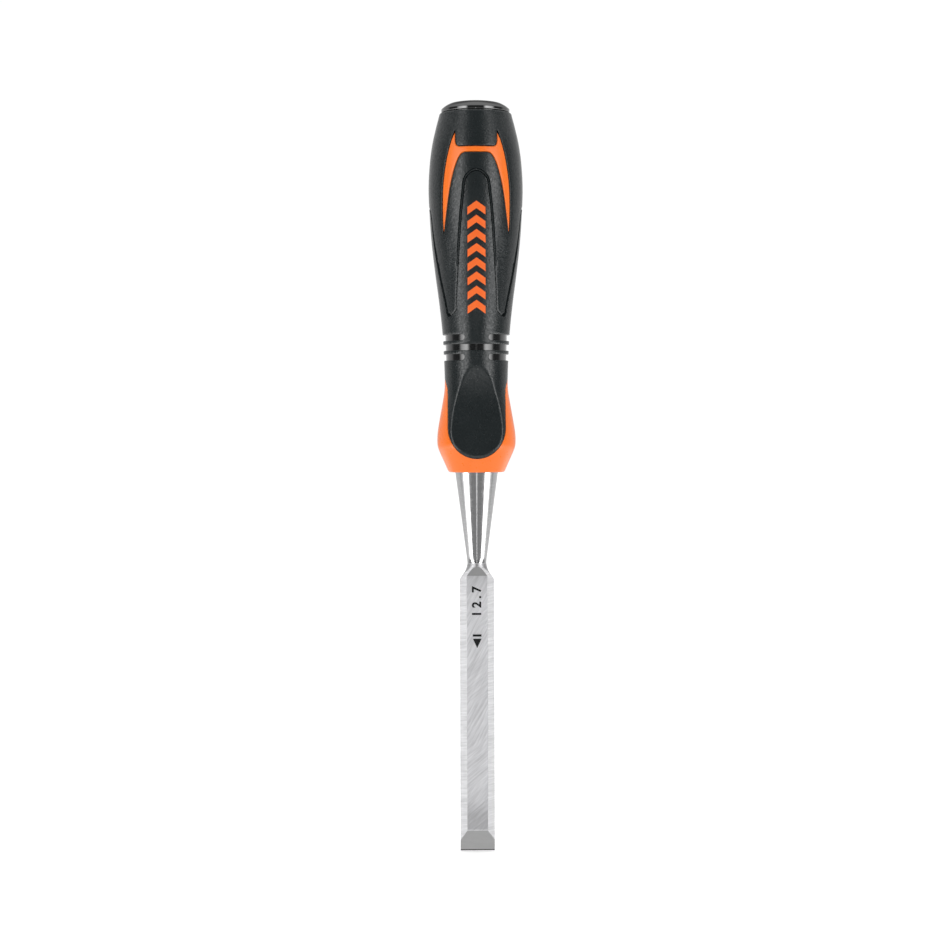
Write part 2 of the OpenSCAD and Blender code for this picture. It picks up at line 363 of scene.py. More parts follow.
def antler_ring(grow=0.0, reach=0.0):
    """Half of the inlay's outline, closed along the middle of the front.

    reach makes both tips longer.
    """
    top = (ANTLER_TOP[0], ANTLER_TOP[1] + reach)
    tip = (ANTLER_TIP[0], ANTLER_TIP[1] - reach)
    outer = catmull([top] + ANTLER_OUT + [tip])
    lower = catmull(ANTLER_IN)
    notch = catmull(ANTLER_NOTCH)
    ring = np.concatenate([[(-2, CROSSBAR_TOP)], notch, outer, lower, [(-2, CROSSBAR_FOOT)]])
    if not grow:
        return ring
    line = resample(ring, 0.25)
    t = np.gradient(line, axis=0)
    t /= np.maximum(np.hypot(*t.T), 1e-9)[:, None]
    side = -grow if inside([line[40] + np.array([-t[40, 1], t[40, 0]]) * 0.1], ring)[0] else grow
    return line + np.column_stack([-t[:, 1], t[:, 0]]) * side


def channel_line():
    """Edge of the raised panels: down the front one, across the channel's foot, up the side one."""
    # from just past the middle, so that the line runs level there
    front = catmull([(-1.1, 250.15)] + PANEL, 8)
    side = catmull(SIDE_PANEL, 8)
    side_plane = side.copy()
    side_plane[:, 0] = QUARTER * handle_r(side[:, 1]) - side[:, 0]
    a, b = front[-1], side_plane[-1]
    tip = np.array([b[0] - 2.1, CHANNEL_Z[0]])
    bend = catmull([a, a + (0.5, -0.9), tip - (0.5, -0.15), tip, tip + (0.5, 0.1),
                    b - (0.5, 1.9), b], 5)
    return np.concatenate([front[:-1], bend[:-1], side_plane[::-1]]), tip


CHANNEL, CHANNEL_TIP = channel_line()
RAISED = np.concatenate([CHANNEL, [(30, 238), (30, 100), (-3, 100), (-3, 250.4)]])


def panel_relief(points):
    """Depth of the panel grooves and the channels at points (distance round, height)."""
    d = distance(points, CHANNEL)
    low = ~inside(points, RAISED)
    x, z = points.T
    width = PANEL_GROOVE_W
    groove = PANEL_GROOVE_D * (1 - step(d, width - 0.14, width + 0.02))
    full, none = CHANNEL_Z[1:]
    from_panel = x - np.interp(z, [p[1] for p in PANEL[::-1]], [p[0] for p in PANEL[::-1]])
    channel = PANEL_GROOVE_D + (CHANNEL_D - PANEL_GROOVE_D) * step(from_panel, 0.5, 4)
    channel = channel * (1 - step(z, full, none))

    def slit(at, half):
        return np.clip(1 - np.abs(d - at) / half, 0, 1)

    # a fine slit runs along both walls of the groove, and a notch ends the channel
    slits = 0.8 * slit(0.22, 0.22) + 0.4 * slit(width - 0.17, 0.16) * step(z, full, full + 9)
    notch = 0.5 * np.clip(1.3 - np.hypot(*(points - CHANNEL_TIP - (0.35, 0.6)).T) / 0.8, 0, 1)
    return np.where(low, step(d, -0.02, 0.12) * np.maximum(groove, channel) + slits + notch, 0)


def slot_ring(z, grow=0.0):
    """Outline of a short ring groove, open at the side."""
    r = RING_W / 2 + grow
    end = BRIDGE_W + RING_W / 2
    bend = arc(end, z, r, 270, 90, 12)
    return np.concatenate([[(40, z - r)], bend, [(40, z + r)]])


def beside(line, distances):
    """The line on the plane, at each of the distances to its left."""
    return [to_plane(offset(line, d) if d else line) for d in distances]


def rim_lines(line, distances, inward=False):
    """Lines on the plane along a closed outline, on its outer or its inner side."""
    line = resample(line, 0.3)
    area = (line[:-1, 0] * line[1:, 1] - line[1:, 0] * line[:-1, 1]).sum()
    side = 1 if (area > 0) == inward else -1
    return beside(line, [side * d for d in distances])


def level_lines(heights):
    """Level lines right round the quarter."""
    return [resample([(0, z), (QUARTER * UNROLL, z)], 0.5) for z in heights]


def over_core(plane):
    """Radius of a moulding's inner skin on the core."""
    return core_r(plane[:, 1]) + CLEARANCE


def make_palm_grip():
    """The upper soft moulding, with its windows, panels and the edges of its ring grooves."""
    z0, z1 = RING_Z + RING_W / 2, GRIP_Z
    window = antler_ring(0.16, 0.7)
    slot = slot_ring(RING_Z + RING_PITCH)

    def keep(plane):
        points = to_skin(plane)
        return ~inside(points, window) & ~inside(points, slot)

    def outer(plane):
        points = to_skin(plane)
        r = handle_r(points[:, 1]) - panel_relief(points)
        r = r - fillet(distance(points, window), 0.3)
        r = r - fillet(distance(points, slot), LIP)
        return r - fillet(points[:, 1] - z0, LIP)

    lines = rim_lines(window, (0, 0.06, 0.15, 0.3)) + rim_lines(slot, (0, 0.07, 0.2))
    lines += beside(resample(CHANNEL, 0.3), (0, 0.1, 0.2, 0.3, 0.4))
    groove_end = PANEL_GROOVE_W + 0.02
    lines += beside(resample(CHANNEL, 0.3), [groove_end - d for d in (0, 0.12, 0.17, 0.33)])
    lines += level_lines([z0 + 0.05, z0 + LIP])
    lines += level_lines([z1 - d for d in (0.05, 0.15, 0.3, 0.5, 0.8, 1.1)])
    return piece("palm_grip_skin", *skin(z0, z1, lines, keep, outer, over_core), "xy")


def tongue_line(grow=0.0):
    """Edge of the tongue on the plane: from the waist at the side, down and round to the front."""
    half, flare_z, round_z, reach = 10.75, 166, 157.5, 11.5
    flare = catmull([(11.62, 175.35), (11.35, 173.9), (10.95, 172.6), (half, 170.5),
                     (half, flare_z)], 5)
    sides = resample([(half, flare_z), (half, round_z)], 0.4)[1:]
    t = np.linspace(0, QUARTER, 60)[1:]
    foot = np.column_stack([half * np.cos(t), round_z - reach * np.sin(t)])
    line = np.concatenate([flare, sides, foot])
    angle = np.arcsin(np.clip(line[:, 0] / handle_r(line[:, 1]), -1, 1))
    plane = np.column_stack([angle * UNROLL, line[:, 1]])
    plane = np.concatenate([[(QUARTER * UNROLL + 1, 175.5)], plane, [(-1, 146)]])
    if grow:
        plane = resample(plane, 0.3)
        plane = offset(plane, grow)
    return plane


TONGUE = tongue_line()
TONGUE_RING = np.concatenate([TONGUE, [(-1, 300), (QUARTER * UNROLL + 1, 300)]])


def tongue_distance(plane):
    """Distance from the tongue's edge, on the skin."""
    return distance(to_skin(plane), to_skin(TONGUE))


def rest_depth(z):
    """How far the thumb rest's scoop lies in front of the axis at height z."""
    upper, lower, deepest, at = 33, 63, 9.65, 168
    d = np.abs(z - at)
    r = np.where(z > at, upper, lower)
    return deepest + r - np.sqrt(np.maximum(r * r - np.minimum(d, r)**2, 0))


def soft_min(a, b, k):
    """The smaller of a and b, rounded over about k where they cross."""
    h = np.clip(0.5 + 0.5 * (b - a) / k, 0, 1)
    return b * (1 - h) + a * h - k * h * (1 - h)


def make_thumb_grip():
    """The lower soft moulding: the band under the middle groove and its two tongues."""
    z0, z1 = 145.8, RING_Z - RING_W / 2
    slot = slot_ring(RING_Z - RING_PITCH)

    def keep(plane):
        return inside(plane, TONGUE_RING) & ~inside(to_skin(plane), slot)

    def outer(plane):
        points = to_skin(plane)
        z = points[:, 1]
        r = handle_r(z) + 0.03
        scoop = rest_depth(z) / np.maximum(np.cos(plane[:, 0] / UNROLL), 0.05)
        r = soft_min(r, scoop, 0.35)
        r = r - fillet(tongue_distance(plane), 0.25)
        r = r - fillet(distance(points, slot), LIP)
        return r - fillet(z1 - z, LIP)

    def inner(plane):
        over_sleeve = np.where(plane[:, 1] < COLLAR_TOP_Z, 0, core_r(plane[:, 1]))
        return np.maximum(over_sleeve, SLEEVE_R) + CLEARANCE

    lines = rim_lines(slot, (0, 0.07, 0.2))
    lines += [resample(TONGUE, 0.3)] + [tongue_line(d) for d in (0.06, 0.15, 0.28)]
    lines += level_lines([z1 - 0.05, z1 - LIP])
    return piece("thumb_grip_skin", *skin(z0, z1, lines, keep, outer, inner, gap=0.5), "xy")


def make_collar():
    """The hard collar, let in under the tongues."""
    neck_bore, core_bore = 8.05, CORE[0][1] + CLEARANCE

    def outer(plane):
        z = plane[:, 1]
        skin_r = handle_r(z) - fillet(tongue_distance(plane), 0.12)
        return np.where(inside(plane, TONGUE_RING), SLEEVE_R, skin_r)

    def inner(plane):
        return np.where(plane[:, 1] < SEAT_Z, neck_bore, core_bore)

    lines = [resample(TONGUE, 0.3)] + [tongue_line(d) for d in (-0.12, -0.05, 0.03)]
    lines += level_lines([COLLAR_Z + d for d in (0.03, 0.1, 0.2, 0.35, 0.6)])

    def keep(plane):
        return np.ones(len(plane), bool)

    return piece("collar_skin", *skin(COLLAR_Z, COLLAR_TOP_Z, lines, keep, outer, inner), "xy")


def make_inlay(name, turn):
    """The hard inlay in the grip's window: two antlers joined by a crossbar."""
    ring = antler_ring()

    def outer(plane):
        points = to_skin(plane)
        return handle_r(points[:, 1]) - INLAY_RECESS - fillet(distance(points, ring), 0.3)

    def keep(plane):
        return inside(to_skin(plane), ring)

    lines = rim_lines(ring, (0, 0.06, 0.15, 0.3), inward=True)
    quarter = skin(226, 268, lines, keep, outer, over_core, gap=0.6)
    return piece(name, *quarter, "x", turn=turn)


def make_core():
    """The black core, seen at the floors of the ring grooves."""
    outside = [(r, z) for z, r in CORE]
    bore = [(CAP_STEM_R + CLEARANCE, GRIP_Z), (CAP_STEM_R + CLEARANCE, 259.4), (0, 259.4)]
    tang = [(0, 245.1)] + [(r + CLEARANCE, z) for r, z in TANG[1::-1]]
    return piece("core_skin", *lathe(tang + outside + bore))


def make_strike_cap():
    """The steel cap that takes the mallet's blows."""
    rim_r, top = 12.2, (0, 277.85)
    rim = np.concatenate([arc(rim_r, 273.98, 0.42, -85, -3, 6), arc(rim_r, 274.62, 0.43, 0, 52, 6)])
    dome = catmull([rim[-1], (11.6, 275.7), (10.4, 276.45), (9, 277.05), (6.5, 277.5), (3, 277.78),
                    top], 5)
    profile = [(0, 259.5), (4.8, 259.5), (CAP_STEM_R, 259.7), (CAP_STEM_R, GRIP_Z)]
    profile += [(12, GRIP_Z), (12, rim[0][1])]
    profile += [tuple(p) for p in rim] + [tuple(p) for p in dome[1:-1]] + [top]
    return piece("strike_cap_skin", *lathe(profile), sharp=30)


# ---------------------------------------------------------------- the blade

BLADE_W, BLADE_T, EDGE_T, FACE_W = 12.7, 3.7, 2.0, 7.7
GRIND = math.radians(25)
SHOULDER_Z = 101.1      # top of the blade's straight sides
APEX_Z = 106.2          # top of the run-out that the flats end in
# rings of the shoulder: height, half width, depth of the flats, half depth, squareness
SHOULDER = [(101.1, 6.35, 1.85, 3.6, 10), (101.8, 6.02, 1.85, 3.6, 6),
            (102.6, 5.5, 1.85, 3.62, 3.6), (103.3, 5.0, 2.2, 3.63, 2.7),
            (104, 4.52, 2.57, 3.64, 2.3), (105, 4.05, 3.09, 3.65, 2.05),
            (106.2, 3.7, 3.72, 3.62, 2), (107.2, 3.53, 4.2, 3.53, 2), (108.6, 3.62, 5, 3.62, 2)]
NECK = [(106.2, 3.7), (107.2, 3.53), (108.6, 3.62), (110, 3.8), (112, 4.07), (126, 5.94),
        (144.1, 8.36)]
NECK_FOOT = 108.6
NECK_TOP_R = 7.9        # inside the collar
SHADE_STRIP_Z = 0.5           # top of the strip along the cutting edge that is painted darker, as shade
CUTTING_Z = BLADE_T / math.tan(GRIND)   # top of the cutting bevel
RUN_OUT_Z = 102.6       # where the run-out's darker steel starts, painted shade
POLISHED_Z = 107.3      # where the neck's polish starts
FLAT, SIDE_BEVEL, ROUND = range(3)      # the surfaces that shoulder_radii returns


def shoulder_radii(z, angles):
    """Distance of the blade's surfaces from the axis, at height z and each angle from the front."""
    width, depth, power = (hermite([(s[0], s[k]) for s in SHOULDER], z) for k in (1, 3, 4))
    front = flat_depth(z)
    s, c = np.abs(np.sin(angles)), np.cos(angles)
    body = (s / width)**power + (np.abs(c) / depth)**power
    flat = front / np.maximum(np.abs(c), 1e-6)
    run, drop = (BLADE_W - FACE_W) / 2, BLADE_T - EDGE_T
    reach = drop * FACE_W / 2 + run * BLADE_T / 2
    bevel = reach / np.maximum(s * drop + c * run, 1e-6)
    return np.array([flat, bevel, body**(-1 / power)])


def flat_depth(z):
    """How far the flats lie from the axis: level, then rising straight to the neck."""
    return np.interp(z, [s[0] for s in SHOULDER], [s[2] for s in SHOULDER])


def creases(z):
    """Angles at height z where the front flat, the side bevel and the body end, front to back."""
    angles = np.linspace(0, math.pi, 7201)
    which = np.argmin(shoulder_radii(z, angles), axis=0)
    front = angles[(which == FLAT) & (angles < QUARTER)]
    bevel = angles[which == SIDE_BEVEL]
    back = angles[(which == FLAT) & (angles > QUARTER)]
    first = max(front.max() if len(front) else 0, 0.03)
    last = min(back.min() if len(back) else math.pi, math.pi - 0.03)
    second = bevel.max() if len(bevel) else first + 0.01
    return first, max(second, first + 0.01), max(last, second + 0.01)


def make_blade():
    """Ground blade, shoulder, neck and the tang inside the handle, as one closed forging."""
    corners = [(FACE_W / 2, -BLADE_T / 2), (BLADE_W / 2, BLADE_T / 2 - EDGE_T),
               (BLADE_W / 2, BLADE_T / 2)]
    hexagon = corners + [(-x, y) for x, y in reversed(corners)]
    counts = (24, 14, 24, 24)   # columns from crease to crease, over one half
    verts, rings = [], []

    def columns(stops):
        stops = [0, *stops, math.pi]
        half = np.concatenate([np.linspace(a, b, n, endpoint=False)
                               for a, b, n in zip(stops, stops[1:], counts)] + [[math.pi]])
        return np.concatenate([half, 2 * math.pi - half[-2:0:-1]])

    def ring(angles, radii, z):
        rings.append(list(range(len(verts), len(verts) + len(angles))))
        for a, r in zip(angles, np.broadcast_to(radii, len(angles))):
            verts.append((r * math.sin(a) * MM, -r * math.cos(a) * MM, z * MM))

    at_corners = [math.atan2(x, -y) for x, y in corners]
    straight = columns(at_corners)
    ring(straight, hexagon_radii(hexagon, straight), SHOULDER_Z)
    for z in np.arange(SHOULDER_Z + 0.1, APEX_Z, 0.1):
        last = creases(z)
        angles = columns(last)
        ring(angles, shoulder_radii(z, angles).min(0), z)
    free = (0.5, 1.0, 2.2)
    for z in np.arange(APEX_Z, NECK_FOOT, 0.2):
        share = step(z, APEX_Z, NECK_FOOT - 0.1)
        angles = columns([a + (b - a) * share for a, b in zip(last, free)])
        ring(angles, shoulder_radii(z, angles)[ROUND], z)
    # the neck, which goes on a little way into the collar, its seat and the tang
    angles = columns(free)
    for z in np.linspace(NECK_FOOT, 141.3, 45):
        ring(angles, hermite(NECK, z), z)
    for r, z in [(NECK_TOP_R, 141.6), (NECK_TOP_R, SEAT_Z)] + TANG:
        ring(angles, r, z)
    n = len(straight)
    faces = [[low[k], low[(k + 1) % n], high[(k + 1) % n], high[k]]
             for low, high in zip(rings, rings[1:]) for k in range(n)]
    faces.append(rings[-1])
    # the straight part, down to the cutting bevel and the strip along its edge, which is painted
    # darker as shade
    foot = []
    for x, y in hexagon:
        foot.append(len(verts))
        verts.append((x * MM, y * MM, (BLADE_T / 2 - y) / math.tan(GRIND) * MM))
    shade_strip = []
    for x in (BLADE_W / 2, -BLADE_W / 2):
        shade_strip.append(len(verts))
        verts.append((x * MM, (BLADE_T / 2 - SHADE_STRIP_Z * math.tan(GRIND)) * MM, SHADE_STRIP_Z * MM))
    stops = [counts[0], sum(counts[:2]), sum(counts[:3])]
    stops += [n - k for k in reversed(stops)]
    for k in range(6):
        a, b = stops[k], stops[(k + 1) % 6]
        run = [rings[0][i % n] for i in range(b, (a if a < b else a - n) - 1, -1)]
        base = [foot[k], foot[(k + 1) % 6]]
        if k == 1:
            base.insert(1, shade_strip[0])
        if k == 3:
            base.insert(1, shade_strip[1])
        faces.append(base + run)
    faces.append([foot[0], foot[5], foot[4], shade_strip[1], shade_strip[0], foot[1]])
    faces.append([shade_strip[0], shade_strip[1], foot[3], foot[2]])
    return piece("blade_skin", verts, faces, sharp=14)


def hexagon_radii(corners, angles):
    """Distance from the axis to a convex outline, at each angle from the front."""
    x, y = np.sin(angles), -np.cos(angles)
    radii = np.full(len(angles), 1e9)
    for (ax, ay), (bx, by) in zip(corners, corners[1:] + corners[:1]):
        nx, ny = by - ay, ax - bx
        reach = nx * ax + ny * ay
        along = (nx * x + ny * y) * np.sign(reach)
        radii = np.minimum(radii, np.where(along > 1e-9, abs(reach) / np.maximum(along, 1e-9), 1e9))
    return radii


def dress_blade(obj):
    """Flats, side bevels and neck get their own steel by the way each face looks; the darker steels
    of the cutting bevel, the strip along its edge and the run-out are painted shade.
    """
    # painted shade: the front flat is darker where it meets the cutting bevel and the shoulder, as
    # its reflections are dimmer there
    front_painted_shade = [(0, 1), (8.3, 0.95), (8.5, 0.74), (14, 0.76), (19, 0.95), (24, 1), (94, 1),
                  (99, 0.9), (103, 0.79)]
    back_tone = [(0, 0.9), (110, 0.95)]
    for mat in (flat_steel("blade_front_steel", front_painted_shade), bevel_steel(), neck_steel(),
                ground_shaded_steel("run_out_steel", 0.26, 0.34),
                ground_shaded_steel("cutting_bevel_steel", 0.345, 0.41),
                ground_shaded_steel("painted_edge_shade_steel", 0.08, 0.12),
                flat_steel("blade_back_steel", back_tone)):
        obj.data.materials.append(mat)
    flat, bevel, neck, run_out, cutting, shade_strip, back = range(7)
    for face in obj.data.polygons:
        x, y, z = face.normal
        height = face.center.z / MM
        face.material_index = flat if y < 0.5 else back
        # painted shade: the strip along the cutting edge and the cutting bevel get darker steel
        if height < SHADE_STRIP_Z and z < -0.3:
            face.material_index = shade_strip
        elif height < CUTTING_Z and z < -0.3:
            face.material_index = cutting
        elif height > POLISHED_Z:
            face.material_index = neck
        elif height > SHOULDER_Z and on_run_out(face):
            if height > RUN_OUT_Z:
                face.material_index = run_out
        elif abs(x) > 0.4 or height > SHOULDER_Z:
            face.material_index = bevel


def on_run_out(face):
    """Whether a face of the shoulder lies on the flat's run-out up to the neck."""
    _, y, z = face.center / MM
    return z < APEX_Z and abs(abs(y) - flat_depth(z)) < 0.03 and abs(face.normal.x) < 0.12


# ---------------------------------------------------------------- printed marks

def patch(bm, outline, lift):
    """Adds a flat outline, wrapped and made thick by lift, as a closed thin solid."""
    low = [bm.verts.new(lift(x, z, 0)) for x, z in outline]
    high = [bm.verts.new(lift(x, z, 1)) for x, z in outline]
    n = len(outline)
    bm.faces.new(high)
    bm.faces.new(low[::-1])
    for i in range(n):
        bm.faces.new([low[i], low[(i + 1) % n], high[(i + 1) % n], high[i]])


def make_palm_print():
    """Plain chevrons printed on the front panel."""
    bm = bmesh.new()

    def lift(x, z, top):
        r = handle_r(z) - 0.05 + 0.1 * top
        a = x / r
        return Vector((r * math.sin(a), -r * math.cos(a), z)) * MM

    stroke, rise, half, pitch = 2.7, 2.3, 3.3, 5.1
    steps = np.linspace(0, 1, 5)
    for k in range(CHEVRONS):
        foot = CHEVRON_FOOT + k * pitch
        for side in (-1, 1):
            for ends in zip(steps, steps[1:]):
                low = [(side * half * (1 - u), foot + rise * u) for u in ends[::side]]
                high = [(x, z + stroke) for x, z in reversed(low)]
                patch(bm, low + high, lift)
    bmesh.ops.recalc_face_normals(bm, faces=bm.faces)
    return add_object("palm_print", bm)


def make_blade_mark():
    """Size numerals etched on the blade's front, reading upwards."""
    curve = bpy.data.curves.new("blade_mark", "FONT")
    curve.body = "12.7"
    curve.size = 4.6
    curve.space_character = 1.5
    curve.extrude = 0.02
    curve.offset = 0.14
    curve.align_x, curve.align_y = "CENTER", "CENTER"
    curve.resolution_u = 3
    made = bpy.data.objects.new("blade_mark_text", curve)
    bpy.context.scene.collection.objects.link(made)
    mesh = bpy.data.meshes.new_from_object(made)
    bpy.data.objects.remove(made)
    bpy.data.curves.remove(curve)
    bm = bmesh.new()
    bm.from_mesh(mesh)
    bpy.data.meshes.remove(mesh)
    middle = 93
    for v in bm.verts:
        x, y, z = v.co
        v.co = Vector((-y, -BLADE_T / 2 - z, middle + x)) * MM
    bmesh.ops.remove_doubles(bm, verts=bm.verts, dist=1e-6)

    def lift(x, z, top):
        return Vector((x, -BLADE_T / 2 + 0.02 - 0.04 * top, z)) * MM

    # a plain arrowhead that points to the cutting edge, and a bar over it
    patch(bm, [(-1.6, 79.3), (1.6, 79.3), (0, 75.8)][::-1], lift)
    patch(bm, [(-1.6, 80.1), (-1.6, 80.9), (1.6, 80.9), (1.6, 80.1)], lift)
    return add_object("blade_mark", bm)


# ---------------------------------------------------------------- materials

def new_material(name):
    """A new material, its node tree and its Principled shader."""
    mat = bpy.data.materials.new(name)
    mat.use_nodes = True
    tree = mat.node_tree
    return mat, tree, next(n for n in tree.nodes if n.type == "BSDF_PRINCIPLED")


def set_inputs(node, **values):
    """Sets the node's sockets; an underscore in a name stands for a space."""
    for name, value in values.items():
        node.inputs[name.replace("_", " ")].default_value = value


def color_ramp(tree, factor, stops):
    """A ramp through (position, colour) stops, driven by the factor."""
    ramp = tree.nodes.new("ShaderNodeValToRGB")
    elements = ramp.color_ramp.elements
    while len(elements) < len(stops):
        elements.new(0.5)
    for element, (at, color) in zip(elements, stops):
        element.position = at
        element.color = (*color, 1)
    tree.links.new(factor, ramp.inputs["Fac"])
    return ramp.outputs["Color"]


def mix_colors(tree, factor, a, b):
    """From colour a to colour b over the factor's 0 to 1."""
    return color_ramp(tree, factor, [(0, a), (1, b)])


def noise(tree, scale, detail=2.0, stretch=(1, 1, 1), rough=0.5, turn=(0, 0, 0)):
    """Noise in the object's own coordinates; scale is in features per metre.

    stretch makes the features longer along the axes, which turn swings, in degrees.
    """
    coords = tree.nodes.new("ShaderNodeTexCoord")
    mapping = tree.nodes.new("ShaderNodeMapping")
    mapping.vector_type = "TEXTURE"
    set_inputs(mapping, Scale=stretch, Rotation=[math.radians(t) for t in turn])
    tex = tree.nodes.new("ShaderNodeTexNoise")
    set_inputs(tex, Scale=scale, Detail=detail, Roughness=rough)
    tree.links.new(coords.outputs["Object"], mapping.inputs["Vector"])
    tree.links.new(mapping.outputs["Vector"], tex.inputs["Vector"])
    return tex.outputs["Fac"]


def remap(tree, value, a, b, low=0.3, high=0.7):
    """The value's low to high, which is where noise mostly lies, made a to b."""
    node = tree.nodes.new("ShaderNodeMapRange")
    set_inputs(node, From_Min=low, From_Max=high, To_Min=a, To_Max=b)
    tree.links.new(value, node.inputs["Value"])
    return node.outputs["Result"]


def tint(tree, shader, factor, a, b):
    """Makes the shader's colour run from a to b over the factor."""
    tree.links.new(mix_colors(tree, factor, a, b), shader.inputs["Base Color"])


def roughen(tree, shader, value, a, b):
    """Makes the shader's roughness run from a to b with the noise value."""
    tree.links.new(remap(tree, value, a, b), shader.inputs["Roughness"])


def bump(tree, shader, height, distance_mm):
    """A fine relief on the shader, as deep as distance_mm."""
    node = tree.nodes.new("ShaderNodeBump")
    set_inputs(node, Strength=1.0, Distance=distance_mm * MM)
    tree.links.new(height, node.inputs["Height"])
    tree.links.new(node.outputs["Normal"], shader.inputs["Normal"])


def soft_black():
    """The grip's rubber; its fine grain shows as a speckle where it catches the light."""
    mat, tree, shader = new_material("soft_black_rubber")
    grain = noise(tree, 1400, 4, rough=0.55)
    cloud = noise(tree, 120, 3)
    tint(tree, shader, cloud, (0.0135, 0.018, 0.019), (0.0165, 0.0215, 0.023))
    roughen(tree, shader, cloud, 0.24, 0.28)
    tree.links.new(remap(tree, grain, 0.25, 0.75), shader.inputs["Specular IOR Level"])
    bump(tree, shader, grain, 0.07)
    return mat


def hard_orange():
    """The collar's and the inlays' half-gloss plastic."""
    mat, tree, shader = new_material("hard_orange_plastic")
    cloud = noise(tree, 90, 2)
    tint(tree, shader, cloud, (0.97, 0.182, 0.014), (1.0, 0.2, 0.018))
    roughen(tree, shader, noise(tree, 700, 2), 0.27, 0.33)
    bump(tree, shader, noise(tree, 1500, 1), 0.004)
    return mat


def print_orange():
    """The dull ink of the print on the grip."""
    mat, tree, shader = new_material("print_orange")
    cloud = noise(tree, 500, 3)
    tint(tree, shader, cloud, (0.88, 0.125, 0.007), (0.96, 0.16, 0.012))
    roughen(tree, shader, cloud, 0.45, 0.6)
    bump(tree, shader, noise(tree, 1500, 2), 0.01)
    return mat


def gloss_black(name, coat, coat_rough, under=0.5):
    """Glossy black: the coat's IOR and roughness, and the specular level under it."""
    mat, tree, shader = new_material(name)
    cloud = noise(tree, 150, 2)
    tint(tree, shader, cloud, (0.003, 0.0035, 0.004), (0.005, 0.006, 0.0065))
    roughen(tree, shader, noise(tree, 500, 2), 0.14, 0.2)
    set_inputs(shader, Specular_IOR_Level=under, Coat_Weight=1, Coat_IOR=coat,
               Coat_Roughness=coat_rough)
    return mat


def steel(name, rough):
    """A new metal whose roughness wanders over the range given."""
    mat, tree, shader = new_material(name)
    set_inputs(shader, Metallic=1)
    roughen(tree, shader, noise(tree, 400, 2), *rough)
    return mat, tree, shader


def tint_by_height(tree, shader, marks, a, b, stops):
    """Steel from colour a to b over the marks, times a grey by height above the cutting edge that
    paints shade where the stops darken it.

    The stops are (millimetres, grey), up to 110 mm.
    """
    top = 110
    coords = tree.nodes.new("ShaderNodeTexCoord")
    split = tree.nodes.new("ShaderNodeSeparateXYZ")
    tree.links.new(coords.outputs["Object"], split.inputs["Vector"])
    share = remap(tree, split.outputs["Z"], 0, 1, 0, top * MM)
    painted_shade = color_ramp(tree, share,
                      [(at / top, (level, level, level * 1.01)) for at, level in stops])
    node = tree.nodes.new("ShaderNodeMix")
    node.data_type = "RGBA"
    node.blend_type = "MULTIPLY"
    node.inputs["Factor"].default_value = 1
    tree.links.new(mix_colors(tree, remap(tree, marks, 0, 1), a, b), node.inputs[6])
    tree.links.new(painted_shade, node.inputs[7])
    tree.links.new(node.outputs[2], shader.inputs["Base Color"])


def flat_steel(name, painted_shade_stops):
    """Front or back of the blade: scratches aslant at two angles, mixed in patches."""
    mat, tree, shader = steel(name, (0.66, 0.74))
    slack = noise(tree, 1500, 3, stretch=(14, 1, 1), turn=(0, -40, 0))
    steep = noise(tree, 1500, 3, stretch=(14, 1, 1), turn=(0, -62, 0))
    share = noise(tree, 45, 1)
    mix = tree.nodes.new("ShaderNodeMix")
    tree.links.new(remap(tree, share, 0, 1, 0.42, 0.58), mix.inputs["Factor"])
    tree.links.new(slack, mix.inputs[2])
    tree.links.new(steep, mix.inputs[3])
    marks = mix.outputs[0]
    # painted light and shade: the flats' pale steel brightens them beyond the bevels, and the stops
    # darken it by height
    tint_by_height(tree, shader, marks, (0.71, 0.71, 0.717), (0.94, 0.94, 0.948),
                   painted_shade_stops)
    bump(tree, shader, marks, 0.01)
    return mat


def bevel_steel():
    """The two side bevels, ground across."""
    mat, tree, shader = steel("blade_bevel_steel", (0.46, 0.52))
    marks = noise(tree, 1700, 2, stretch=(12, 12, 1), turn=(0, -6, 0))
    # painted shade: the side bevels are darker towards the cutting edge
    tint_by_height(tree, shader, marks, (0.51, 0.51, 0.515), (0.69, 0.69, 0.695),
                   [(0, 0.85), (30, 0.87), (65, 0.97), (110, 0.97)])
    bump(tree, shader, marks, 0.012)
    return mat


def neck_steel():
    """The polished neck, turned, with faint rings."""
    mat, tree, shader = steel("neck_polished_steel", (0.1, 0.15))
    rings = noise(tree, 1500, 3, stretch=(8, 8, 1))
    tint(tree, shader, rings, (0.55, 0.55, 0.555), (0.68, 0.68, 0.685))
    bump(tree, shader, rings, 0.0025)
    return mat


def ground_shaded_steel(name, low, high):
    """Finely ground steel, painted darker as shade, for the cutting bevel, the strip along its edge
    and the run-out.
    """
    mat, tree, shader = steel(name, (0.34, 0.4))
    marks = noise(tree, 900, 3, stretch=(12, 2, 1), turn=(0, 4, 0))
    tint(tree, shader, marks, (low,) * 3, (high,) * 3)
    bump(tree, shader, marks, 0.006)
    return mat


def mark_black():
    """The dull black of the marks on the blade."""
    mat, tree, shader = new_material("etched_mark")
    cloud = noise(tree, 900, 2)
    tint(tree, shader, cloud, (0.006, 0.006, 0.007), (0.012, 0.012, 0.013))
    roughen(tree, shader, cloud, 0.55, 0.7)
    set_inputs(shader, Specular_IOR_Level=0.2)
    return mat


def floor_material():
    """A plain pale floor, lit up a little, as on a light table."""
    mat, tree, shader = new_material("floor_pale")
    cloud = noise(tree, 3, 2)
    tint(tree, shader, cloud, (0.93, 0.93, 0.93), (0.95, 0.95, 0.95))
    set_inputs(shader, Roughness=0.9, Specular_IOR_Level=0.1, Emission_Color=(1, 1, 1, 1),
               Emission_Strength=0.35)
    return mat


# ---------------------------------------------------------------- scene

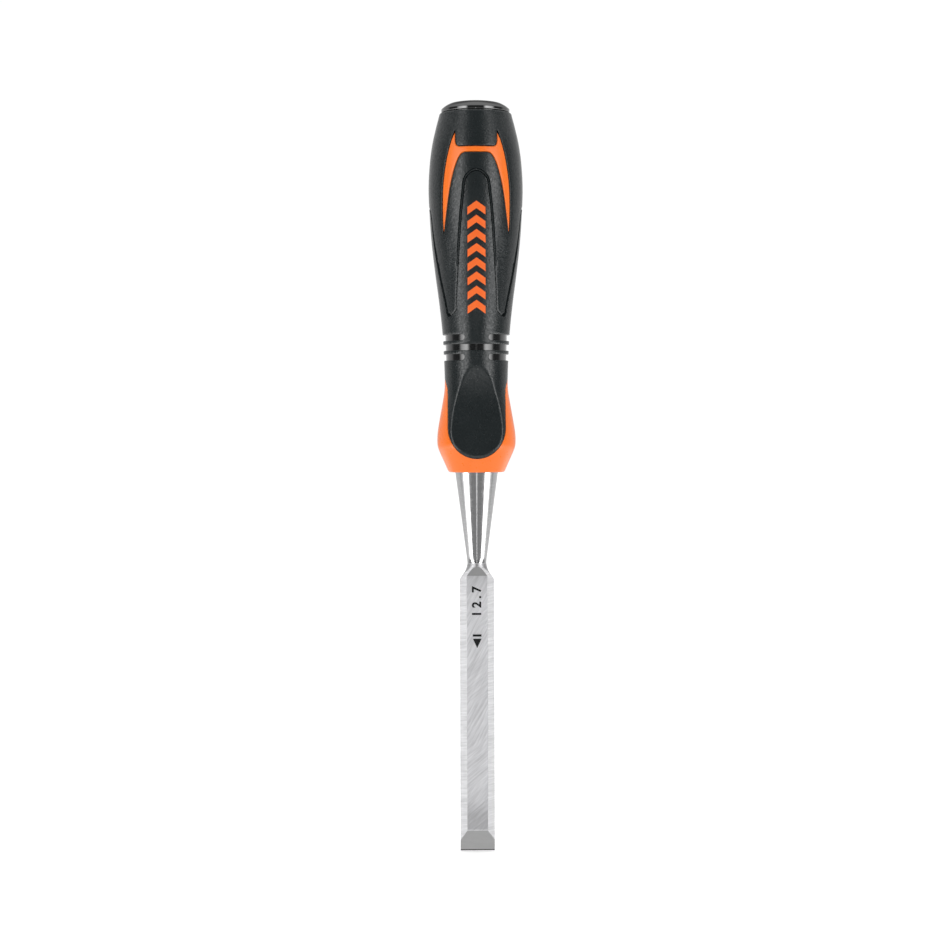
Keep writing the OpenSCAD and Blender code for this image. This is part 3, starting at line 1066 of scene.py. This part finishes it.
SOFTBOX = 4.0           # radiance of the softboxes; the levels below are shares of it
CEILING = 0.2
FLOOR = 0.23
GLINT = 0.3             # a narrow strip of light dead ahead, below eye level
GLINT_HALF, GLINT_TOP = 2.0, -0.05
FILL = 0.6              # strength of each fill light
LEAN = 22.0             # degrees by which the softboxes lean away below eye level
# A direction's height runs from -1, straight down, to 1, straight up. These are the heights
# between which the light round eye level gives way to another zone's.
LOWER_FADE = (-0.16, -0.28)
FLOOR_FADE = (-0.38, -0.5)
HIGH_FADE = (0.15, 0.5)
CEILING_FADE = (0.7, 0.92)
# (degrees round the tool, level) at eye level, above it and below it
UPPER_LIGHT = [(0, 0.022), (26, 0.022), (35, 1.02), (42, 1.0), (58, 0.58), (67, 0.02),
               (96, 0.03), (107, 0.15), (150, 0.19), (180, 0.22)]
HIGH_LIGHT = [(0, 0.02), (28, 0.02), (36, 0.3), (56, 0.3), (64, 0.1), (90, 0.16),
              (140, 0.18), (165, 0.05), (180, 0.04)]
LOWER_LIGHT = [(0, 0.075), (26, 0.075), (30, 1), (63, 1), (69, 0.4), (180, 0.4)]


def dress(obj, material, node):
    """Gives the object its material and body, and hides the CAD node it replaces."""
    if material:
        obj.data.materials.append(material)
    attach(obj, BODY)
    if node:
        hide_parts(node)


def look_at(obj, target):
    """Turns the object's own -Z towards the target."""
    obj.rotation_euler = (Vector(target) - obj.location).to_track_quat("-Z", "Y").to_euler()


def build_object():
    """Every visible piece of the chisel."""
    rubber, orange = soft_black(), hard_orange()
    gloss = gloss_black("gloss_black_core", coat=1.65, coat_rough=0.13)
    cap_paint = gloss_black("black_painted_steel", coat=2.15, coat_rough=0.07, under=0.02)
    blade = make_blade()
    dress_blade(blade)
    dress(blade, None, "blade")
    dress(make_core(), gloss, "core")
    dress(make_collar(), orange, "collar")
    dress(make_inlay("inlay_front_skin", False), orange, "inlay_front")
    dress(make_inlay("inlay_back_skin", True), orange, "inlay_back")
    dress(make_palm_grip(), rubber, "palm_grip")
    dress(make_thumb_grip(), rubber, "thumb_grip")
    dress(make_strike_cap(), cap_paint, "strike_cap")
    dress(make_palm_print(), print_orange(), None)
    dress(make_blade_mark(), mark_black(), None)


def build_floor():
    """The floor, just below the cutting edge, which the tool doesn't mirror."""
    bpy.ops.mesh.primitive_plane_add(size=14, location=(0, 0, -0.0001))
    floor = bpy.context.object
    floor.name = "floor"
    floor.data.materials.append(floor_material())
    floor.visible_diffuse = False
    floor.visible_glossy = False


def build_world():
    """A studio all round: dim ahead, tall softboxes on both sides of the camera.

    Angles are in degrees round the tool, 0 ahead of its front and 180 behind it, and alike on
    both sides. The camera sees plain white instead.
    """
    world = bpy.data.worlds.new("studio")
    bpy.context.scene.world = world
    world.use_nodes = True
    tree = world.node_tree
    nodes, links = tree.nodes, tree.links
    nodes.clear()
    coords = nodes.new("ShaderNodeTexCoord")
    split = nodes.new("ShaderNodeSeparateXYZ")
    links.new(coords.outputs["Generated"], split.inputs["Vector"])
    height = split.outputs["Z"]

    def calc(kind, *values):
        node = nodes.new("ShaderNodeMath")
        node.operation = kind
        for socket, value in zip(node.inputs, values):
            if isinstance(value, (int, float)):
                socket.default_value = value
            else:
                links.new(value, socket)
        return node.outputs["Value"]

    def fade(value, start, end):
        node = nodes.new("ShaderNodeMapRange")
        node.interpolation_type = "SMOOTHSTEP"
        set_inputs(node, From_Min=start, From_Max=end)
        links.new(value, node.inputs["Value"])
        return node.outputs["Result"]

    def levels(angle, stops):
        return color_ramp(tree, calc("DIVIDE", angle, 180.0),
                          [(at / 180, (level,) * 3) for at, level in stops])

    def blend(factor, a, b):
        node = nodes.new("ShaderNodeMix")
        node.data_type = "RGBA"
        links.new(factor, node.inputs["Factor"])
        for socket, value in ((node.inputs[6], a), (node.inputs[7], b)):
            if isinstance(value, float):
                socket.default_value = (value, value, value, 1)
            else:
                links.new(value, socket)
        return node.outputs[2]

    ahead = calc("MULTIPLY", split.outputs["Y"], -1.0)
    side = calc("ABSOLUTE", split.outputs["X"])
    angle = calc("MULTIPLY", calc("ARCTAN2", side, ahead), 180 / math.pi)
    low = fade(height, *LOWER_FADE)
    leaning = calc("SUBTRACT", angle, calc("MULTIPLY", low, LEAN))
    light = blend(fade(height, *HIGH_FADE), levels(leaning, UPPER_LIGHT), levels(angle, HIGH_LIGHT))
    light = blend(low, light, levels(leaning, LOWER_LIGHT))
    light = blend(fade(height, *CEILING_FADE), light, CEILING)
    light = blend(fade(height, *FLOOR_FADE), light, FLOOR)
    ahead_low = calc("MULTIPLY", calc("LESS_THAN", angle, GLINT_HALF),
                     calc("LESS_THAN", height, GLINT_TOP))
    glint = calc("MULTIPLY", ahead_low, GLINT)
    total = nodes.new("ShaderNodeVectorMath")
    links.new(light, total.inputs[0])
    links.new(glint, total.inputs[1])
    studio = nodes.new("ShaderNodeBackground")
    set_inputs(studio, Strength=SOFTBOX)
    links.new(total.outputs["Vector"], studio.inputs["Color"])
    white = nodes.new("ShaderNodeBackground")
    set_inputs(white, Color=(1, 1, 1, 1), Strength=1.02)
    path = nodes.new("ShaderNodeLightPath")
    mix = nodes.new("ShaderNodeMixShader")
    links.new(path.outputs["Is Camera Ray"], mix.inputs["Fac"])
    links.new(studio.outputs["Background"], mix.inputs[1])
    links.new(white.outputs["Background"], mix.inputs[2])
    output = nodes.new("ShaderNodeOutputWorld")
    links.new(mix.outputs["Shader"], output.inputs["Surface"])


def build_fill():
    """Two very soft fill lights, ahead and behind, that add no reflections of their own."""
    for name, turn in (("front_fill", 0), ("back_fill", 180)):
        data = bpy.data.lights.new(name, "SUN")
        data.energy = FILL
        data.angle = math.pi
        data.use_shadow = False
        lamp = bpy.data.objects.new(name, data)
        lamp.rotation_euler = (math.radians(80), 0, math.radians(turn))
        lamp.visible_glossy = False
        bpy.context.collection.objects.link(lamp)


def build_camera():
    """The tool seen square from the front, from a little above its middle."""
    camera = bpy.data.objects.new("camera", bpy.data.cameras.new("camera"))
    bpy.context.scene.collection.objects.link(camera)
    bpy.context.scene.camera = camera
    camera.data.lens = 87.97
    camera.data.sensor_width = 36
    turn, roll = math.radians(-0.9), math.radians(-0.19)
    distance_m, eye, aim, aside = 0.86, 0.158, 0.1399, -0.00058
    camera.location = (distance_m * math.sin(turn) + aside, -distance_m * math.cos(turn), eye)
    look_at(camera, (aside, 0, aim))
    camera.rotation_euler.rotate_axis("Z", roll)


build_object()
build_floor()
build_world()
build_fill()
build_camera()
bpy.context.scene.view_settings.view_transform = "Standard"
